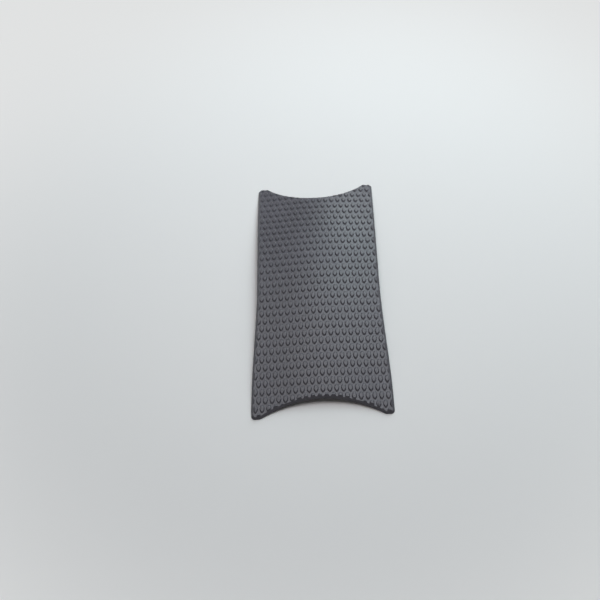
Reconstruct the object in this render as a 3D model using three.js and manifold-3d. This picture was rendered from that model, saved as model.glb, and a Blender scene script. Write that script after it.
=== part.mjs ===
import * as THREE from 'three';
import * as BufferGeometryUtils from 'three/addons/utils/BufferGeometryUtils.js';
import Module from 'manifold-3d';

// A curved rubber pad with a pattern of raised ovals, moulded in one piece.
// Plan sizes run along the sheet before it is bent: u across it, v forward.
// n is the height above its back. All lengths are in millimetres.

// Plan outline
const waistHalfWidth = 67;
const footHalfWidth = 73.2;
const hornEnd = 148.5;
const footEnd = 160.5;
const flareStart = 0;
const frontNotchDepth = 22.8;
const frontNotchRadius = 78;
const rearNotchDepth = 18.6;
const rearNotchRadius = 120;
const outerCornerRadius = 3.6;
const hornCornerRadius = 4;
const footCornerRadius = 6;

// Section
const bodyThickness = 2.6;
const studHeight = 1.4;
const edgeLand = 0.5;
const bevelRun = 3.2;

// Pattern of raised ovals, in rows that are staggered by half a pitch
const columnPitch = 7;
const rowPitch = 9.3;
const columnStart = 1.3;
const rowStart = -1.5;
const studWidth = 5;
const studLength = 9.9;
const studShoulder = 2;
const ridgeFront = 2.2;
const ridgeRear = -2.8;

// Bend of the pad: how far its back drops from the middle, at bendReach to the front
// and to the rear, and at the sides
const bendReach = 150;
const frontDrop = 15.2062;
const rearDrop = 7.4395;
const crownDrop = 3.6;
const crownHalfWidth = footHalfWidth;

// Fineness of the facets
const edgeStep = 20;
const backColumns = 9;
const backRows = 13;
const notchSteps = 6;
const cornerSteps = 3;
const flareSteps = 3;
const spineSteps = 24;

// Room that the cutting solids keep past the pad
const sheetMargin = 12;
const bevelOverrun = 1;
const apexDistance = 2000;

const smallestRadius = 0.3;
const totalThickness = bodyThickness + studHeight;
const padLength = hornEnd + footEnd;

const rubber = new THREE.MeshStandardMaterial({ color: 0x45444a, roughness: 0.42, metalness: 0 });

const wasm = await Module();
wasm.setup();

// Angle at which the sheet rises, going forward, at distance v from its middle
function riseAngle(v) {
  const t = v / bendReach;
  const linear = -(frontDrop + rearDrop) / bendReach;
  const quadratic = -(frontDrop - rearDrop) / bendReach * 3 / 2;
  return linear * t + quadratic * t * t;
}

// Point of the bent centreline at distance v along it
function spinePoint(v) {
  let y = 0;
  let z = 0;
  for (let i = 0; i < spineSteps; i += 1) {
    const rise = riseAngle(v * (i + 0.5) / spineSteps);
    y += Math.cos(rise) * v / spineSteps;
    z += Math.sin(rise) * v / spineSteps;
  }
  return { y, z, rise: riseAngle(v) };
}

// Place of a sheet point (u, v, n) on the bent pad
function bend(u, v, n) {
  const { y, z, rise } = spinePoint(v);
  const phase = Math.PI * u / crownHalfWidth;
  const drop = -crownDrop * (1 - Math.cos(phase)) / 2;
  const slope = -crownDrop * Math.PI / crownHalfWidth * Math.sin(phase) / 2;
  const stretch = Math.hypot(1, slope);
  const height = drop + n / stretch;
  return new THREE.Vector3(
    u - n * slope / stretch,
    y - Math.sin(rise) * height,
    z + Math.cos(rise) * height,
  );
}

// Centre and direction of the fillet between a notch and the end line beside it
function filletAt(endLine, notchDepth, notchRadius, cornerRadius) {
  const notchCentre = endLine - notchDepth + notchRadius;
  const v = endLine - cornerRadius;
  const u = Math.sqrt((notchRadius + cornerRadius) ** 2 - (notchCentre - v) ** 2);
  return { notchCentre, u, v, angle: Math.atan2(v - notchCentre, u) };
}

// Points of an arc, from one angle to the other
function arcPoints(u, v, radius, from, to, clockwise, steps) {
  return new THREE.EllipseCurve(u, v, radius, radius, from, to, clockwise).getPoints(steps);
}

// Right half of the outline, from the middle of the rear notch forward, moved inwards by inset
function halfOutline(inset) {
  const radius = (size) => Math.max(size - inset, smallestRadius);
  const footRadius = radius(footCornerRadius);
  const hornRadius = radius(hornCornerRadius);
  const corner = radius(outerCornerRadius);
  const foot = filletAt(footEnd - inset, rearNotchDepth, rearNotchRadius + inset, footRadius);
  const horn = filletAt(hornEnd - inset, frontNotchDepth, frontNotchRadius + inset, hornRadius);
  const footSide = footHalfWidth - inset;
  const hornSide = waistHalfWidth - inset;
  const flareEnd = inset + corner - footEnd;
  const ease = 0.4 * (flareStart - flareEnd);
  const up = Math.PI / 2;
  const flare = new THREE.CubicBezierCurve(
    new THREE.Vector2(footSide, flareEnd),
    new THREE.Vector2(footSide, flareEnd + ease),
    new THREE.Vector2(hornSide, flareStart - ease),
    new THREE.Vector2(hornSide, flareStart),
  );
  return [
    ...arcPoints(0, -foot.notchCentre, rearNotchRadius + inset, up, -foot.angle, true, notchSteps),
    ...arcPoints(foot.u, -foot.v, footRadius, 2 * up - foot.angle, 3 * up, false, cornerSteps).slice(1),
    ...arcPoints(footSide - corner, flareEnd, corner, -up, 0, false, cornerSteps),
    ...flare.getPoints(flareSteps).slice(1),
    ...arcPoints(hornSide - corner, hornEnd - inset - corner, corner, 0, up, false, cornerSteps),
    ...arcPoints(horn.u, horn.v, hornRadius, up, 2 * up + horn.angle, false, cornerSteps),
    ...arcPoints(0, horn.notchCentre, frontNotchRadius + inset, horn.angle, -up, true, notchSteps).slice(1),
  ];
}

// Whole outline, with its long stretches divided so that they can follow the bend
function outline(inset) {
  const right = halfOutline(inset);
  const left = right.slice(1, -1).reverse().map((point) => new THREE.Vector2(-point.x, point.y));
  return right.concat(left);
}

// Steps into which each stretch of the outline is divided
function outlineSteps(points) {
  return points.map((point, i) => {
    const next = points[(i + 1) % points.length];
    return Math.max(1, Math.ceil(point.distanceTo(next) / edgeStep));
  });
}

function divideOutline(points, steps) {
  return points.flatMap((point, i) => {
    const next = points[(i + 1) % points.length];
    return Array.from({ length: steps[i] }, (_, k) => point.clone().lerp(next, k / steps[i]));
  });
}

function toManifold(vertices, triangles) {
  const geometry = new THREE.BufferGeometry().setFromPoints(vertices);
  geometry.setIndex(triangles.flat());
  const merged = BufferGeometryUtils.mergeVertices(geometry);
  return new wasm.Manifold(new wasm.Mesh({
    numProp: 3,
    vertProperties: new Float32Array(merged.attributes.position.array),
    triVerts: new Uint32Array(merged.index.array),
  }));
}

// Closed solid from an open face, whose rim is joined to one point far above or below it
function closeTo(apexHeight, vertices, triangles) {
  const key = (a, b) => `${a},${b}`;
  const edges = new Set(triangles.flatMap(([a, b, c]) => [key(a, b), key(b, c), key(c, a)]));
  const apex = vertices.length;
  const closed = triangles.slice();
  for (const [a, b, c] of triangles) {
    for (const [from, to] of [[a, b], [b, c], [c, a]]) {
      if (!edges.has(key(to, from))) closed.push([to, from, apex]);
    }
  }
  return toManifold(vertices.concat([new THREE.Vector3(0, 0, apexHeight)]), closed);
}

// Solid inside the outline: all but upright up to the land, then sloping in along the bevel
function edgeSolid() {
  const slopeTop = totalThickness + bevelOverrun;
  const slopeInset = bevelRun * (slopeTop - edgeLand) / (totalThickness - edgeLand);
  const outer = outline(0);
  const steps = outlineSteps(outer);
  const lower = divideOutline(outer, steps).map((point) => bend(point.x, point.y, edgeLand));
  const upper = divideOutline(outline(slopeInset), steps).map((point) => bend(point.x, point.y, slopeTop));
  const count = lower.length;
  const below = 2 * count;
  const above = below + 1;
  const triangles = [];
  for (let a = 0; a < count; a += 1) {
    const b = (a + 1) % count;
    triangles.push([b, a, below], [a, b, b + count], [a, b + count, a + count], [a + count, b + count, above]);
  }
  const apexes = [-apexDistance, apexDistance].map((z) => new THREE.Vector3(0, 0, z));
  return toManifold([...lower, ...upper, ...apexes], triangles);
}

// Solid above the back of the pad, a coarse grid that follows the bend
function backSolid() {
  const width = 2 * (footHalfWidth + sheetMargin);
  const length = padLength + 2 * sheetMargin;
  const rearEdge = -footEnd - sheetMargin;
  const across = backColumns + 1;
  const vertices = [];
  for (let j = 0; j <= backRows; j += 1) {
    for (let i = 0; i <= backColumns; i += 1) {
      vertices.push(bend((i / backColumns - 0.5) * width, rearEdge + j / backRows * length, 0));
    }
  }
  const triangles = [];
  for (let j = 0; j < backRows; j += 1) {
    for (let i = 0; i < backColumns; i += 1) {
      const a = j * across + i;
      const b = a + across;
      triangles.push([a, b + 1, a + 1], [a, b, b + 1]);
    }
  }
  return closeTo(apexDistance, vertices, triangles);
}

// Corners of one raised oval about its centre: a six-sided foot, then the two ends of its ridge
function studCorners() {
  const side = studWidth / 2;
  const tip = studLength / 2;
  const foot = [[0, tip], [-side, studShoulder], [-side, -studShoulder],
    [0, -tip], [side, -studShoulder], [side, studShoulder]];
  return foot.map(([u, v]) => [u, v, bodyThickness])
    .concat([[0, ridgeFront, totalThickness], [0, ridgeRear, totalThickness]]);
}

const studFaces = [[0, 1, 6], [1, 2, 7], [1, 7, 6], [2, 3, 7], [3, 4, 7], [4, 5, 6], [4, 6, 7], [5, 0, 6]];

// Solid below the patterned face: the ovals, the net between them, and sides that meet far below
function patternSolid() {
  const corners = studCorners();
  const columns = 2 * Math.ceil((footHalfWidth + sheetMargin) / columnPitch) + 1;
  const firstRow = -2 * Math.ceil((footEnd + sheetMargin) / (2 * rowPitch));
  const lastRow = Math.ceil((hornEnd + sheetMargin) / rowPitch);
  const rows = lastRow - firstRow + 1;
  const vertices = [];
  for (let j = 0; j < rows; j += 1) {
    for (let i = 0; i < columns; i += 1) {
      const u = (i - (columns - 1) / 2 + (j % 2) / 2) * columnPitch + columnStart;
      const v = (j + firstRow) * rowPitch + rowStart;
      for (const [du, dv, n] of corners) vertices.push(bend(u + du, v + dv, n));
    }
  }
  const corner = (i, j, k) => (j * columns + i) * corners.length + k;
  const triangles = [];
  for (let j = 0; j < rows; j += 1) {
    for (let i = 0; i < columns; i += 1) {
      for (const face of studFaces) triangles.push(face.map((k) => corner(i, j, k)));
    }
  }
  const right = (j) => j % 2;
  for (let j = 0; j < rows; j += 1) {
    for (let i = 0; i < columns; i += 1) {
      const up = i + right(j);
      const upLeft = up - 1;
      const hasUp = j + 1 < rows;
      if (hasUp && up < columns) {
        triangles.push([corner(i, j, 0), corner(i, j, 5), corner(up, j + 1, 3)]);
        triangles.push([corner(i, j, 0), corner(up, j + 1, 3), corner(up, j + 1, 2)]);
      }
      if (hasUp && upLeft >= 0) {
        triangles.push([corner(i, j, 0), corner(upLeft, j + 1, 4), corner(upLeft, j + 1, 3)]);
        triangles.push([corner(i, j, 0), corner(upLeft, j + 1, 3), corner(i, j, 1)]);
      }
      if (i + 1 < columns && hasUp) {
        triangles.push([corner(i, j, 5), corner(i + 1, j, 1), corner(up, j + 1, 3)]);
      }
      if (i + 1 < columns) {
        triangles.push([corner(i, j, 5), corner(i, j, 4), corner(i + 1, j, 2)]);
        triangles.push([corner(i, j, 5), corner(i + 1, j, 2), corner(i + 1, j, 1)]);
      }
      if (i + 1 < columns && j > 0) {
        triangles.push([corner(i, j, 4), corner(up, j - 1, 0), corner(i + 1, j, 2)]);
      }
    }
  }
  return closeTo(-apexDistance, vertices, triangles);
}

// Turns the pad so that its horns and feet stand level, and puts its origin at its base
function standLevel(geometry) {
  const front = bend(waistHalfWidth, hornEnd, 0);
  const rear = bend(footHalfWidth, -footEnd, 0);
  geometry.rotateX(-Math.atan2(front.z - rear.z, front.y - rear.y));
  geometry.computeBoundingBox();
  const box = geometry.boundingBox;
  const middle = box.getCenter(new THREE.Vector3());
  geometry.translate(-middle.x, -middle.y, -box.min.z);
  return geometry;
}

function padGeometry() {
  const solid = patternSolid().intersect(edgeSolid()).intersect(backSolid());
  const mesh = solid.getMesh();
  const geometry = new THREE.BufferGeometry();
  geometry.setAttribute('position', new THREE.BufferAttribute(mesh.vertProperties, 3));
  geometry.setIndex(new THREE.BufferAttribute(mesh.triVerts, 1));
  return standLevel(geometry);
}

const tankPad = new THREE.Mesh(padGeometry(), rubber);
tankPad.name = 'tank_pad';
tankPad.geometry.computeVertexNormals();

const model = new THREE.Group();
model.add(tankPad);

export default model;
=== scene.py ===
import math

import bpy
import numpy as np
from mathutils import Matrix, Vector


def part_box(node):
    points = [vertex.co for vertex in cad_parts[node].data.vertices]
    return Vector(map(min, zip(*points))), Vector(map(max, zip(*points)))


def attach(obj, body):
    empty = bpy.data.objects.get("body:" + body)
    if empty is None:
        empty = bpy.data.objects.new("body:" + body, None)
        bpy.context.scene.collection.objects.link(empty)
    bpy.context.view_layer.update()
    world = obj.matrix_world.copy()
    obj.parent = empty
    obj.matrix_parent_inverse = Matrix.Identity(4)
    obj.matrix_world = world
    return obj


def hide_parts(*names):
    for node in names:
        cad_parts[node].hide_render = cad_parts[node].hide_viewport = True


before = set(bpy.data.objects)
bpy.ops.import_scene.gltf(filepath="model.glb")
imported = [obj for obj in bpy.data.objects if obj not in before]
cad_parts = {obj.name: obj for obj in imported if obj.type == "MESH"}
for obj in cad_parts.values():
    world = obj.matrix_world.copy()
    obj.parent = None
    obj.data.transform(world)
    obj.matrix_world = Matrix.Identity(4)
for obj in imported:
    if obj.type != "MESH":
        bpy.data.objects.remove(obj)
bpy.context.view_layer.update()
print("frame loaded")

mm = 0.001
origin = (0, 0, 0)


# Leaves edit mode too
def deselectAll():
    if bpy.context.mode != "OBJECT":
        bpy.ops.object.mode_set(mode="OBJECT")
    bpy.ops.object.select_all(action="DESELECT")


def makeActive(obj):
    deselectAll()
    obj.select_set(True)
    bpy.context.view_layer.objects.active = obj


# Leaves nothing selected on the active mesh, ready for picking by place
def startPick(kind):
    bpy.ops.object.mode_set(mode="EDIT")
    bpy.ops.mesh.select_mode(type=kind)
    bpy.ops.mesh.select_all(action="DESELECT")
    bpy.ops.object.mode_set(mode="OBJECT")


def pickVertices(obj, test):
    startPick("VERT")
    for vertex in obj.data.vertices:
        vertex.select = test(vertex.co)
    bpy.ops.object.mode_set(mode="EDIT")


def pickEdges(obj, test):
    startPick("EDGE")
    spots = obj.data.vertices
    for edge in obj.data.edges:
        a, b = edge.vertices
        edge.select = test(spots[a].co, spots[b].co)
    bpy.ops.object.mode_set(mode="EDIT")


def pickFaces(obj, test):
    startPick("FACE")
    for face in obj.data.polygons:
        face.select = test(face.center)
    bpy.ops.object.mode_set(mode="EDIT")


def faceOutwards():
    bpy.ops.mesh.select_all(action="SELECT")
    bpy.ops.mesh.normals_make_consistent(inside=False)


def mergeDoubles(distance):
    bpy.ops.object.mode_set(mode="EDIT")
    bpy.ops.mesh.select_all(action="SELECT")
    bpy.ops.mesh.remove_doubles(threshold=distance)


def cutWith(obj, cutter, operation):
    makeActive(obj)
    cut = obj.modifiers.new("cut", "BOOLEAN")
    cut.operation = operation
    cut.solver = "MANIFOLD"
    cut.object = cutter
    bpy.ops.object.modifier_apply(modifier=cut.name)
    bpy.data.objects.remove(cutter)


# The pad is modelled as a flat sheet in millimetres, x across and y forward, and bent at the end
padPlan = {
    "waistHalfWidth": 67,
    "footHalfWidth": 73.2,
    "hornEnd": 148.5,
    "footEnd": 160.5,
    "flareStart": 0,
    "flareEnd": -156.9,
    "frontNotchDepth": 22.8,
    "frontNotchRadius": 78,
    "rearNotchDepth": 18.6,
    "rearNotchRadius": 120,
    "outerCornerRadius": 3.6,
    "hornCornerRadius": 4,
    "footCornerRadius": 6,
    "columns": 18,  # strips of the back, across and along
    "rows": 77,
    "notchSides": 160,
    "notchCutterHeight": 20,
    "cornerSegments": 5,
}

padSection = {
    "bodyThickness": 2.6,
    "studHeight": 1.4,
    "edgeLand": 0.5,
    "bevelRun": 3.2,
    "bevelOverrun": 0.1,
    "blockDrop": 4,  # how far the patterned block reaches below the back before it is cut
}

# Distances, in millimetres, within which points count as one place
nearness = {
    "pick": 0.01,
    "corner": 0.3,
    "cellMerge": 0.02,
    "cutMerge": 0.002,
}

# Ovals stand in rows that are staggered by half a pitch, narrow ends to the rear
studShape = {
    "columnPitch": 7,
    "rowPitch": 9.3,
    "columnStart": 1.3,
    "rowStart": -1.5,
    "width": 5.2,
    "length": 9.3,
    "sides": 16,
    "tailStart": (0.25, 0.6),  # the rear of an oval narrows from these shares of its half length
    "tailNarrowing": (0.95, 0.84),
    "rings": [  # share of the height, then how far inside the foot a ring lies, at its sides and ends
        (0.88, 0.65, 1.2),
        (1.00, 1.10, 1.9),
    ],
}


def makeOval():
    shape, section = studShape, padSection
    halfWidth, halfLength = shape["width"] / 2, shape["length"] / 2
    centre = (0, 0, section["bodyThickness"])
    deselectAll()
    bpy.ops.mesh.primitive_circle_add(vertices=shape["sides"], radius=1, fill_type="NOTHING",
                                      location=origin)
    oval = bpy.context.active_object
    oval.name = "ovals"
    bpy.ops.object.mode_set(mode="EDIT")
    bpy.ops.transform.resize(value=(halfWidth, halfLength, 1), center_override=origin)
    for start, narrowing in zip(shape["tailStart"], shape["tailNarrowing"]):
        pickVertices(oval, lambda spot: spot.y < -start * halfLength)
        bpy.ops.transform.resize(value=(narrowing, 1, 1), center_override=origin)
    bpy.ops.mesh.select_all(action="SELECT")
    bpy.ops.transform.translate(value=centre)
    scaleNow = (1, 1)
    raised = 0
    for share, atSides, atEnds in shape["rings"]:
        scaleNew = (1 - atSides / halfWidth, 1 - atEnds / halfLength)
        lift = section["studHeight"] * share - raised
        raised += lift
        bpy.ops.mesh.extrude_region_move(TRANSFORM_OT_translate={"value": (0, 0, lift)})
        factors = (scaleNew[0] / scaleNow[0], scaleNew[1] / scaleNow[1], 1)
        bpy.ops.transform.resize(value=factors, center_override=centre)
        scaleNow = scaleNew
    bpy.ops.mesh.edge_face_add()
    return oval


# Gives an oval its share of the net: a six-sided cell that meets the cells of its six neighbours
def addNet(oval):
    shape = studShape
    across, along = shape["columnPitch"], shape["rowPitch"]
    top, near = padSection["bodyThickness"], nearness["pick"]
    centre = (0, 0, top)
    sideSpot = (along * along - across * across / 4) / (2 * along)  # corners at the sides and at the tips
    tipSpot = (along * along + across * across / 4) / (2 * along)
    bpy.ops.mesh.select_all(action="DESELECT")
    bpy.ops.mesh.primitive_circle_add(vertices=6, radius=1, fill_type="NOTHING", location=centre)
    wide = across / 2 / math.sin(math.radians(60))
    bpy.ops.transform.resize(value=(wide, tipSpot, 1), center_override=centre)
    pickVertices(oval, lambda spot: abs(abs(spot.x) - across / 2) < near)
    bpy.ops.transform.resize(value=(1, sideSpot / (tipSpot / 2), 1), center_override=centre)

    def onBorderOrFoot(spot):
        onBorder = abs(spot.x) > across / 2 - near or abs(spot.y) > tipSpot - near
        return onBorder or spot.z < top + near

    pickVertices(oval, onBorderOrFoot)
    bpy.ops.mesh.select_mode(type="EDGE")
    bpy.ops.mesh.bridge_edge_loops()


def repeatPiece(obj, name, step, count):
    array = obj.modifiers.new(name, "ARRAY")
    array.use_relative_offset = False
    array.use_constant_offset = True
    array.constant_offset_displace = step
    array.count = count
    bpy.ops.object.modifier_apply(modifier=array.name)


# The whole patterned face, and a plain block below it
def makePatternBlock():
    shape, plan = studShape, padPlan
    across, along = shape["columnPitch"], shape["rowPitch"]
    sheet = makeOval()
    addNet(sheet)
    bpy.ops.mesh.select_all(action="SELECT")
    bpy.ops.mesh.duplicate_move(TRANSFORM_OT_translate={"value": (across / 2, along, 0)})
    makeActive(sheet)
    columns = 2 * math.ceil(plan["footHalfWidth"] / across + 1)  # a spare column on each side
    rearPairs = math.ceil(plan["footEnd"] / (2 * along) + 0.5)  # pairs of rows, with a spare row
    frontPairs = math.ceil(plan["hornEnd"] / (2 * along) + 0.5)
    repeatPiece(sheet, "columns", (across, 0, 0), columns + 1)
    repeatPiece(sheet, "rows", (0, 2 * along, 0), rearPairs + frontPairs + 1)
    mergeDoubles(nearness["cellMerge"])
    left = shape["columnStart"] - columns / 2 * across
    rear = shape["rowStart"] - 2 * along * rearPairs
    bpy.ops.transform.translate(value=(left, rear, 0))
    bpy.ops.mesh.select_mode(type="EDGE")
    bpy.ops.mesh.select_all(action="DESELECT")
    bpy.ops.mesh.select_non_manifold(extend=False, use_wire=False, use_multi_face=False,
                                     use_non_contiguous=False, use_verts=False)
    drop = padSection["bodyThickness"] + padSection["blockDrop"]
    bpy.ops.mesh.extrude_region_move(TRANSFORM_OT_translate={"value": (0, 0, -drop)})
    bpy.ops.mesh.edge_face_add()
    faceOutwards()
    deselectAll()
    print("pattern block:", len(sheet.data.polygons), "faces")
    return sheet


def halfWidthAt(y):
    plan = padPlan
    t = (y - plan["flareEnd"]) / (plan["flareStart"] - plan["flareEnd"])
    t = min(max(t, 0), 1)
    ease = t * t * (3 - 2 * t)
    return plan["footHalfWidth"] + (plan["waistHalfWidth"] - plan["footHalfWidth"]) * ease


# A thin plate with the pad's outline: straight sides that flare to the feet, a notch at each end
def makePlate():
    plan = padPlan
    length = plan["hornEnd"] + plan["footEnd"]
    middle = (plan["hornEnd"] - plan["footEnd"]) / 2
    deselectAll()
    bpy.ops.mesh.primitive_grid_add(x_subdivisions=plan["columns"], y_subdivisions=plan["rows"], size=2,
                                    location=origin)
    plate = bpy.context.active_object
    bpy.ops.object.mode_set(mode="EDIT")
    bpy.ops.transform.resize(value=(plan["waistHalfWidth"], length / 2, 1), center_override=origin)
    bpy.ops.transform.translate(value=(0, middle, 0))
    deselectAll()
    for vertex in plate.data.vertices:
        vertex.co.x *= halfWidthAt(vertex.co.y) / plan["waistHalfWidth"]
    makeActive(plate)
    bpy.ops.object.mode_set(mode="EDIT")
    bpy.ops.mesh.select_all(action="SELECT")
    bpy.ops.mesh.extrude_region_move(TRANSFORM_OT_translate={"value": (0, 0, padSection["edgeLand"])})
    faceOutwards()
    frontRadius, rearRadius = plan["frontNotchRadius"], plan["rearNotchRadius"]
    cutNotch(plate, frontRadius, plan["hornEnd"] - plan["frontNotchDepth"] + frontRadius)
    cutNotch(plate, rearRadius, plan["rearNotchDepth"] - plan["footEnd"] - rearRadius)
    return plate


def cutNotch(plate, radius, y):
    sides = padPlan["notchSides"]
    deselectAll()
    bpy.ops.mesh.primitive_cylinder_add(vertices=sides, radius=radius, depth=padPlan["notchCutterHeight"],
                                        location=(0, y, 0), rotation=(0, 0, math.pi / sides))
    cutWith(plate, bpy.context.active_object, "DIFFERENCE")


# Where a notch meets the end line, and how far the outline turns there
def notchCorner(radius, depth):
    x = math.sqrt(radius ** 2 - (radius - depth) ** 2)
    return x, math.acos((radius - depth) / radius)


# Rounds the upright edges at (x, y) and (-x, y), where the outline turns by the given angle
def roundCorners(plate, x, y, radius, turn):
    def close(spot):
        return math.hypot(abs(spot.x) - x, spot.y - y) < nearness["corner"]

    def upright(a, b):
        return close(a) and close(b) and abs(a.z - b.z) > padSection["edgeLand"] / 2

    pickEdges(plate, upright)
    bpy.ops.mesh.bevel(offset=radius * math.tan(turn / 2), segments=padPlan["cornerSegments"], profile=0.5,
                       affect="EDGES", clamp_overlap=False)


# Rounds the eight corners, then slopes the rim in to the top
def shapeRim(plate):
    plan, section = padPlan, padSection
    hornX, hornTurn = notchCorner(plan["frontNotchRadius"], plan["frontNotchDepth"])
    footX, footTurn = notchCorner(plan["rearNotchRadius"], plan["rearNotchDepth"])
    square = math.pi / 2
    makeActive(plate)
    roundCorners(plate, plan["waistHalfWidth"], plan["hornEnd"], plan["outerCornerRadius"], square)
    roundCorners(plate, plan["footHalfWidth"], -plan["footEnd"], plan["outerCornerRadius"], square)
    roundCorners(plate, hornX, plan["hornEnd"], plan["hornCornerRadius"], hornTurn)
    roundCorners(plate, footX, -plan["footEnd"], plan["footCornerRadius"], footTurn)
    land = section["edgeLand"]
    pickFaces(plate, lambda centre: centre.z > land - nearness["pick"])
    bpy.ops.mesh.dissolve_faces()
    height = section["bodyThickness"] + section["studHeight"] - land
    rise = height + section["bevelOverrun"]
    bpy.ops.mesh.inset(thickness=section["bevelRun"] / height * rise, depth=rise, use_even_offset=True)
    deselectAll()
    print("plate:", len(plate.data.polygons), "faces")


# How far the back drops from its middle, at the reach to the front and to the rear, and at the sides
padBend = {
    "reach": 150,
    "frontDrop": 15.2062,
    "rearDrop": 7.4395,
    "crownDrop": 3.6,
    "crownHalfWidth": 73.2,
    "steps": 24,
}


# Angle at which the sheet rises, going forward
def riseAngle(along):
    bend = padBend
    t = along / bend["reach"]
    linear = -(bend["frontDrop"] + bend["rearDrop"]) / bend["reach"]
    quadratic = -(bend["frontDrop"] - bend["rearDrop"]) / bend["reach"] * 3 / 2
    return linear * t + quadratic * t * t


# Places of flat points, in millimetres, on the bent sheet
def bendPoints(points):
    bend = padBend
    across, along, above = points.T
    share = (np.arange(bend["steps"]) + 0.5) / bend["steps"]
    rises = riseAngle(along[:, None] * share[None, :])
    y = np.cos(rises).sum(1) * along / bend["steps"]
    z = np.sin(rises).sum(1) * along / bend["steps"]
    phase = math.pi * across / bend["crownHalfWidth"]
    drop = -bend["crownDrop"] * (1 - np.cos(phase)) / 2
    slope = -bend["crownDrop"] * math.pi / bend["crownHalfWidth"] * np.sin(phase) / 2
    stretch = np.hypot(1, slope)
    height = drop + above / stretch
    rise = riseAngle(along)
    x = across - above * slope / stretch
    return np.stack([x, y - np.sin(rise) * height, z + np.cos(rise) * height], axis=1)


# Bends the pad, stands its horns and feet level, and puts it where the frame has it
def bendPad(pad):
    mesh = pad.data
    plan = padPlan
    flat = np.zeros(len(mesh.vertices) * 3)
    mesh.vertices.foreach_get("co", flat)
    flat = flat.reshape(-1, 3)
    lift = mesh.attributes.new("padHeight", "FLOAT", "POINT")  # the rubber tells net from tops by this
    lift.data.foreach_set("value", flat[:, 2].astype(np.float32))
    horn = (plan["waistHalfWidth"], plan["hornEnd"], 0)
    foot = (plan["footHalfWidth"], -plan["footEnd"], 0)
    front, rear = bendPoints(np.array([horn, foot], float))
    tilt = -math.atan2(front[2] - rear[2], front[1] - rear[1])
    turn = np.array([[1, 0, 0], [0, math.cos(tilt), -math.sin(tilt)], [0, math.sin(tilt), math.cos(tilt)]])
    bent = bendPoints(flat) @ turn.T * mm
    low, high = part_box("tank_pad")
    middle = (bent.min(0) + bent.max(0)) / 2
    bent[:, 0] += (low.x + high.x) / 2 - middle[0]
    bent[:, 1] += (low.y + high.y) / 2 - middle[1]
    bent[:, 2] += low.z - bent[:, 2].min()
    mesh.vertices.foreach_set("co", bent.ravel())
    mesh.update()
    print("pad bent")


smoothAngle = math.radians(40)


def makePad():
    pad = makePatternBlock()
    plate = makePlate()
    shapeRim(plate)
    cutWith(pad, plate, "INTERSECT")
    pad.name = "moulded_pad"
    makeActive(pad)
    mergeDoubles(nearness["cutMerge"])
    deselectAll()
    bendPad(pad)
    makeActive(pad)
    bpy.ops.object.shade_smooth_by_angle(angle=smoothAngle)
    bpy.ops.object.modifier_add(type="WEIGHTED_NORMAL")  # keeps the tops and the net flat
    weighted = pad.modifiers[-1]
    weighted.keep_sharp = True
    bpy.ops.object.modifier_apply(modifier=weighted.name)
    print("pad:", len(pad.data.polygons), "faces")
    return pad


rubberLook = {
    # The net colour is painted light and the top colour is painted shade: one rubber, lighter on the net
    # and darker on the ovals
    "litNetColour": (0.0655, 0.0617, 0.0765, 1),
    "shadedTopColour": (0.0585, 0.0548, 0.068, 1),
    "dustColour": (0.17, 0.165, 0.16, 1),
    "roughness": (0.32, 0.4),
    "specular": 0.42,
    "clouds": (22, 3),  # scale and detail of each noise
    "specks": (420, 2),
    "dust": (65, 5),
    "grain": (1100, 4),
    "noiseRange": (0.3, 0.7),  # the part of a noise that is spread over the tones
    "cloudTones": (0.9, 1.1),
    "speckTones": (0.82, 1.18),
    "dustRange": (0.45, 0.7),
    "dustAmount": 0.07,
    "dustDepth": 0.3,  # how far up the ovals the dust reaches, in millimetres
    "grainStrength": 0.35,
    "grainHeight": 0.0002,
}


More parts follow.
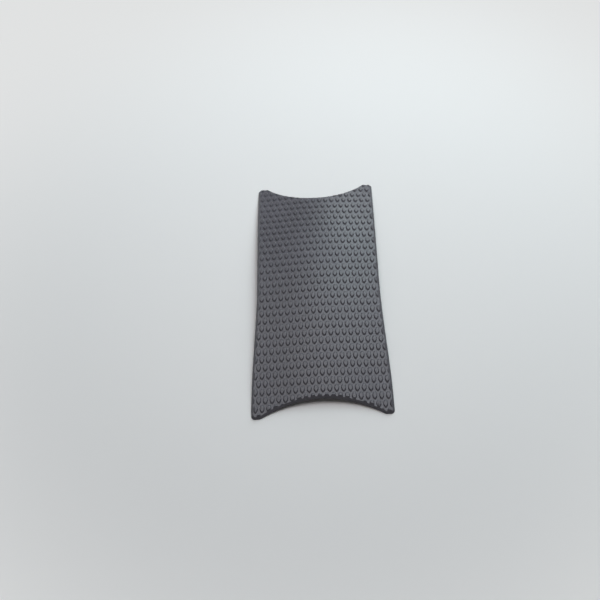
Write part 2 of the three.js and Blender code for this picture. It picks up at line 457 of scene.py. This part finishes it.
def makeRubber():
    look = rubberLook
    material = bpy.data.materials.new("blackRubber")
    material.use_nodes = True
    nodes, links = material.node_tree.nodes, material.node_tree.links
    shader = nodes["Principled BSDF"]
    shader.inputs["Specular IOR Level"].default_value = look["specular"]
    place = nodes.new("ShaderNodeTexCoord")

    def noise(name):
        texture = nodes.new("ShaderNodeTexNoise")
        scale, detail = look[name]
        texture.inputs["Scale"].default_value = scale
        texture.inputs["Detail"].default_value = detail
        links.new(place.outputs["Object"], texture.inputs["Vector"])
        return texture.outputs["Fac"]

    def spread(value, fromRange, toRange):
        level = nodes.new("ShaderNodeMapRange")
        level.inputs["From Min"].default_value, level.inputs["From Max"].default_value = fromRange
        level.inputs["To Min"].default_value, level.inputs["To Max"].default_value = toRange
        links.new(value, level.inputs["Value"])
        return level.outputs["Result"]

    def times(a, b):
        product = nodes.new("ShaderNodeMath")
        product.operation = "MULTIPLY"
        links.new(a, product.inputs[0])
        links.new(b, product.inputs[1])
        return product.outputs["Value"]

    # The net is painted a little lighter than the tops, as painted light on the net and painted shade on
    # the tops, with cloudy patches and small specks over both
    height = nodes.new("ShaderNodeAttribute")
    height.attribute_name = "padHeight"
    low = padSection["bodyThickness"]
    raised = spread(height.outputs["Fac"], (low, low + padSection["studHeight"]), (0, 1))
    tint = nodes.new("ShaderNodeMix")
    tint.data_type = "RGBA"
    tint.inputs["A"].default_value = look["litNetColour"]
    tint.inputs["B"].default_value = look["shadedTopColour"]
    links.new(raised, tint.inputs["Factor"])
    clouds = noise("clouds")
    tone = times(spread(clouds, look["noiseRange"], look["cloudTones"]),
                 spread(noise("specks"), look["noiseRange"], look["speckTones"]))
    shaded = nodes.new("ShaderNodeVectorMath")
    shaded.operation = "SCALE"
    links.new(tint.outputs["Result"], shaded.inputs["Vector"])
    links.new(tone, shaded.inputs["Scale"])

    # A little dust in the net between the ovals
    inNet = spread(height.outputs["Fac"], (low, low + look["dustDepth"]), (1, 0))
    dustAmount = times(inNet, spread(noise("dust"), look["dustRange"], (0, look["dustAmount"])))
    dusty = nodes.new("ShaderNodeMix")
    dusty.data_type = "RGBA"
    dusty.inputs["B"].default_value = look["dustColour"]
    links.new(dustAmount, dusty.inputs["Factor"])
    links.new(shaded.outputs["Vector"], dusty.inputs["A"])
    links.new(dusty.outputs["Result"], shader.inputs["Base Color"])

    # The same patches are duller or smoother, and a fine grain lies over all
    links.new(spread(clouds, look["noiseRange"], look["roughness"]), shader.inputs["Roughness"])
    bump = nodes.new("ShaderNodeBump")
    bump.inputs["Strength"].default_value = look["grainStrength"]
    bump.inputs["Distance"].default_value = look["grainHeight"]
    links.new(noise("grain"), bump.inputs["Height"])
    links.new(bump.outputs["Normal"], shader.inputs["Normal"])
    print("rubber made")
    return material


stageLook = {
    "floorColour": (0.88, 0.86, 0.85, 1),
    "floorRoughness": 0.9,
    "floorSpecular": 0.2,
    "bounceColour": (0.15, 0.15, 0.15, 1),  # the floor as the pad's underside and sides see it
    "backdropColour": (0.75, 0.76, 0.76, 1),
    "floorSize": 12,
    "fadeFrom": 0.24,  # the floor melts into the backdrop between these distances from the pad
    "fadeTo": 0.62,
    "airColour": (1, 1, 1, 1),
    "airStrength": 0.01,
}


# Camera, glossy and transmission rays meet the pale background, all other rays the plain surface
def splitRays(tree, seen, unseen, surface):
    ray = tree.nodes.new("ShaderNodeLightPath")
    meets = ray.outputs["Is Camera Ray"]
    for name in ("Is Glossy Ray", "Is Transmission Ray"):
        either = tree.nodes.new("ShaderNodeMath")
        either.operation = "MAXIMUM"
        tree.links.new(meets, either.inputs[0])
        tree.links.new(ray.outputs[name], either.inputs[1])
        meets = either.outputs["Value"]
    split = tree.nodes.new("ShaderNodeMixShader")
    tree.links.new(meets, split.inputs["Fac"])
    tree.links.new(unseen, split.inputs[1])
    tree.links.new(seen, split.inputs[2])
    tree.links.new(split.outputs["Shader"], surface)


def makeFloor():
    look = stageLook
    deselectAll()
    bpy.ops.mesh.primitive_plane_add(size=look["floorSize"], location=origin)
    floor = bpy.context.active_object
    floor.name = "floor"
    material = bpy.data.materials.new("paleFloor")
    material.use_nodes = True
    nodes, links = material.node_tree.nodes, material.node_tree.links
    lit = nodes["Principled BSDF"]
    lit.inputs["Base Color"].default_value = look["floorColour"]
    lit.inputs["Roughness"].default_value = look["floorRoughness"]
    lit.inputs["Specular IOR Level"].default_value = look["floorSpecular"]
    backdrop = nodes.new("ShaderNodeEmission")
    backdrop.inputs["Color"].default_value = look["backdropColour"]
    place = nodes.new("ShaderNodeTexCoord")
    reach = nodes.new("ShaderNodeVectorMath")
    reach.operation = "LENGTH"
    links.new(place.outputs["Object"], reach.inputs[0])
    fade = nodes.new("ShaderNodeMapRange")
    fade.interpolation_type = "SMOOTHSTEP"
    fade.inputs["From Min"].default_value = look["fadeFrom"]
    fade.inputs["From Max"].default_value = look["fadeTo"]
    links.new(reach.outputs["Value"], fade.inputs["Value"])
    seen = nodes.new("ShaderNodeMixShader")
    links.new(fade.outputs["Result"], seen.inputs["Fac"])
    links.new(lit.outputs["BSDF"], seen.inputs[1])
    links.new(backdrop.outputs["Emission"], seen.inputs[2])
    bounced = nodes.new("ShaderNodeBsdfDiffuse")
    bounced.inputs["Color"].default_value = look["bounceColour"]
    surface = nodes["Material Output"].inputs["Surface"]
    splitRays(material.node_tree, seen.outputs["Shader"], bounced.outputs["BSDF"], surface)
    floor.data.materials.append(material)
    print("floor laid")


def makeWorld():
    look = stageLook
    world = bpy.data.worlds.new("studio")
    bpy.context.scene.world = world
    world.use_nodes = True
    nodes = world.node_tree.nodes
    air = nodes["Background"]
    air.inputs["Color"].default_value = look["airColour"]
    air.inputs["Strength"].default_value = look["airStrength"]
    seen = nodes.new("ShaderNodeBackground")
    seen.inputs["Color"].default_value = look["backdropColour"]
    seen.inputs["Strength"].default_value = 1
    surface = nodes["World Output"].inputs["Surface"]
    splitRays(world.node_tree, seen.outputs["Background"], air.outputs["Background"], surface)


# Softboxes aimed at the pad, in metres and watts, mostly from the front so that they graze the ovals
lamps = {
    "farRightSoftbox": {"place": (0.55, 1.25, 0.75), "size": 0.8, "power": 9.2, "colour": (0.91, 0.99, 1)},
    "farLeftSoftbox": {"place": (-0.7, 1, 0.62), "size": 0.6, "power": 1, "colour": (1, 0.94, 0.96)},
    "backRightSoftbox": {"place": (0.5, 1.15, 1.35), "size": 1, "power": 9.9, "colour": (0.72, 0.94, 1)},
    "backSoftbox": {"place": (0.1, 0.7, 1.5), "size": 0.9, "power": 3, "colour": (0.97, 0.98, 1)},
    "overheadSoftbox": {"place": (0, 0.35, 1.7), "size": 1.3, "power": 10.6, "colour": (1, 0.98, 1)},
    "nearSoftbox": {"place": (-0.1, -0.65, 0.5), "size": 0.5, "power": 0.3, "colour": (1, 0.98, 1)},
}


def makeLamps():
    for name, lamp in lamps.items():
        deselectAll()
        bpy.ops.object.light_add(type="AREA", location=lamp["place"])
        light = bpy.context.active_object
        light.name = name
        light.data.shape = "SQUARE"
        light.data.size = lamp["size"]
        light.data.energy = lamp["power"]
        light.data.color = lamp["colour"]
        light.rotation_euler = (-Vector(lamp["place"])).to_track_quat("-Z", "Y").to_euler()
    print("lamps set:", len(lamps))


cameraSetup = {
    "aim": (-0.02, -0.0178, 0.015),
    "distance": 1.0831,
    "azimuth": 3.88,
    "elevation": 55.04,
    "roll": -6.0,
    "lens": 60,
    "sensor": 36,
}


def makeCamera():
    view = cameraSetup
    azimuth, elevation, roll = (math.radians(view[angle]) for angle in ("azimuth", "elevation", "roll"))
    back = Vector((math.sin(azimuth) * math.cos(elevation), -math.cos(azimuth) * math.cos(elevation),
                   math.sin(elevation)))
    right = Vector((math.cos(azimuth), math.sin(azimuth), 0))
    up = back.cross(right)
    rightTurned = right * math.cos(roll) + up * math.sin(roll)
    upTurned = up * math.cos(roll) - right * math.sin(roll)
    deselectAll()
    bpy.ops.object.camera_add()
    camera = bpy.context.active_object
    turn = Matrix((rightTurned, upTurned, back)).transposed()
    camera.location = Vector(view["aim"]) + back * view["distance"]
    camera.rotation_euler = turn.to_euler()
    camera.data.lens = view["lens"]
    camera.data.sensor_width = view["sensor"]
    bpy.context.scene.camera = camera
    print("camera placed")


makeCamera()
pad = makePad()
pad.data.materials.clear()
pad.data.materials.append(makeRubber())
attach(pad, "root")
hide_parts("tank_pad")
makeFloor()
makeWorld()
makeLamps()
bpy.context.scene.view_settings.view_transform = "Standard"

print("done")
